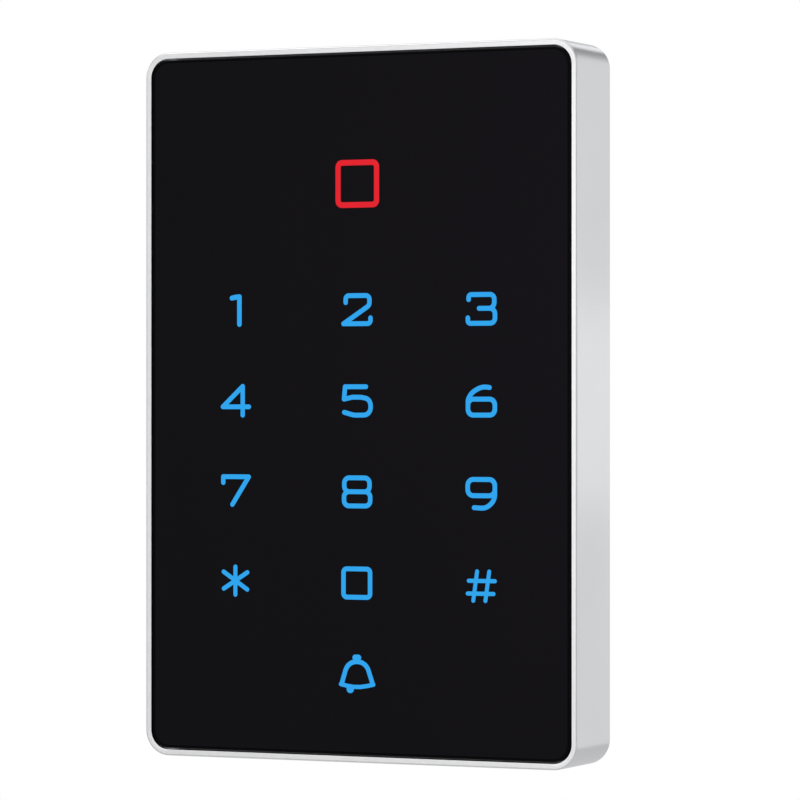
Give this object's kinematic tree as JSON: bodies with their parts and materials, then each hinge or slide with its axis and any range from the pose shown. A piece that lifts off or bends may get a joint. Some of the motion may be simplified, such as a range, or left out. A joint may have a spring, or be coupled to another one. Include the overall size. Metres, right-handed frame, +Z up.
{
  "type": "keypad access reader",
  "caption": "Slim wall-mounted touch keypad and card reader: metal frame, flush black glass with lit keys, and a steel hook-on bracket behind.",
  "frame": {"origin": "centre of the wall bracket's rear face, on the wall plane, half way up the reader", "axes": "+X to the right as seen from in front, +Y into the wall, +Z up"},
  "size_m": [0.0832, 0.016, 0.125],
  "materials": {
    "satin_housing": "satin blasted",
    "polished_lip": "polished",
    "black_glass": "gloss, opaque black behind",
    "icon_blue": "lit print",
    "icon_red": "lit print",
    "black_rubber": "matt",
    "white_film": "matt",
    "white_plastic": "moulded",
    "spring_steel": "drawn wire",
    "green_board": "solder mask",
    "copper_wire": "enamelled copper",
    "chip_resin": "moulded resin",
    "relay_blue": "moulded",
    "can_metal": "drawn",
    "black_plastic": "fine texture",
    "green_plastic": "moulded",
    "red_plastic": "moulded",
    "zinc_steel": "zinc plated",
    "black_steel": "black oxide"
  },
  "bodies": {
    "bracket": {"wall_bracket": "zinc_steel"},
    "reader": {"housing_frame": "satin_housing", "touch_glass": "black_glass", "glass_seal": "black_rubber", "icon_film": "white_film", "light_baffle": "white_plastic", "status_light_guide": "red_plastic", "main_board": "green_board", "rfid_antenna": "copper_wire", "processor_chip": "chip_resin", "touch_chip": "chip_resin", "rfid_chip": "chip_resin", "voltage_regulator": "chip_resin", "crystal": "can_metal", "supply_inductor": "chip_resin", "output_relay": "relay_blue", "supply_capacitor_1": "can_metal", "supply_capacitor_2": "can_metal", "buzzer": "black_plastic", "wire_header": "green_plastic", "tamper_switch": "chip_resin", "tamper_spring": "spring_steel", "plunger_bushing": "black_rubber", "rear_cover": "black_plastic", "rear_seal": "black_rubber", "cable_grommet": "black_rubber", "touch_spring_01": "spring_steel", "touch_spring_02": "spring_steel", "touch_spring_03": "spring_steel", "touch_spring_04": "spring_steel", "touch_spring_05": "spring_steel", "touch_spring_06": "spring_steel", "touch_spring_07": "spring_steel", "touch_spring_08": "spring_steel", "touch_spring_09": "spring_steel", "touch_spring_10": "spring_steel", "touch_spring_11": "spring_steel", "touch_spring_12": "spring_steel", "touch_spring_13": "spring_steel", "cover_screw_1": "black_steel", "board_screw_1": "zinc_steel", "cover_screw_2": "black_steel", "board_screw_2": "zinc_steel", "cover_screw_3": "black_steel", "board_screw_3": "zinc_steel", "cover_screw_4": "black_steel", "board_screw_4": "zinc_steel"},
    "plunger": {"tamper_plunger": "red_plastic"},
    "screw_carriage": {"screw_washer": "zinc_steel"},
    "security_screw": {"security_screw": "black_steel"}
  },
  "joints": [
    {"name": "reader_swing", "type": "hinge", "parent": "bracket", "child": "reader", "pos_m": [0, -0.001, 0.0625], "axis": [-1, 0, 0], "range_deg": [0, 25]},
    {"name": "tamper_travel", "type": "slide", "parent": "reader", "child": "plunger", "axis": [0, 1, 0], "range_m": [0, 0.0012]},
    {"name": "screw_advance", "type": "slide", "parent": "reader", "child": "screw_carriage", "axis": [0, 0, 1], "range_m": [0, 0.0022]},
    {"name": "screw_turn", "type": "hinge", "parent": "screw_carriage", "child": "security_screw", "pos_m": [0, -0.0056, -0.0622], "axis": [0, 0, 1], "range_deg": [0, 1584]}
  ],
  "couplings": [
    {"joint": "tamper_travel", "follows": "reader_swing", "m_per_rad": 0.00275},
    {"joint": "screw_turn", "follows": "screw_advance", "rad_per_m": 12566}
  ]
}
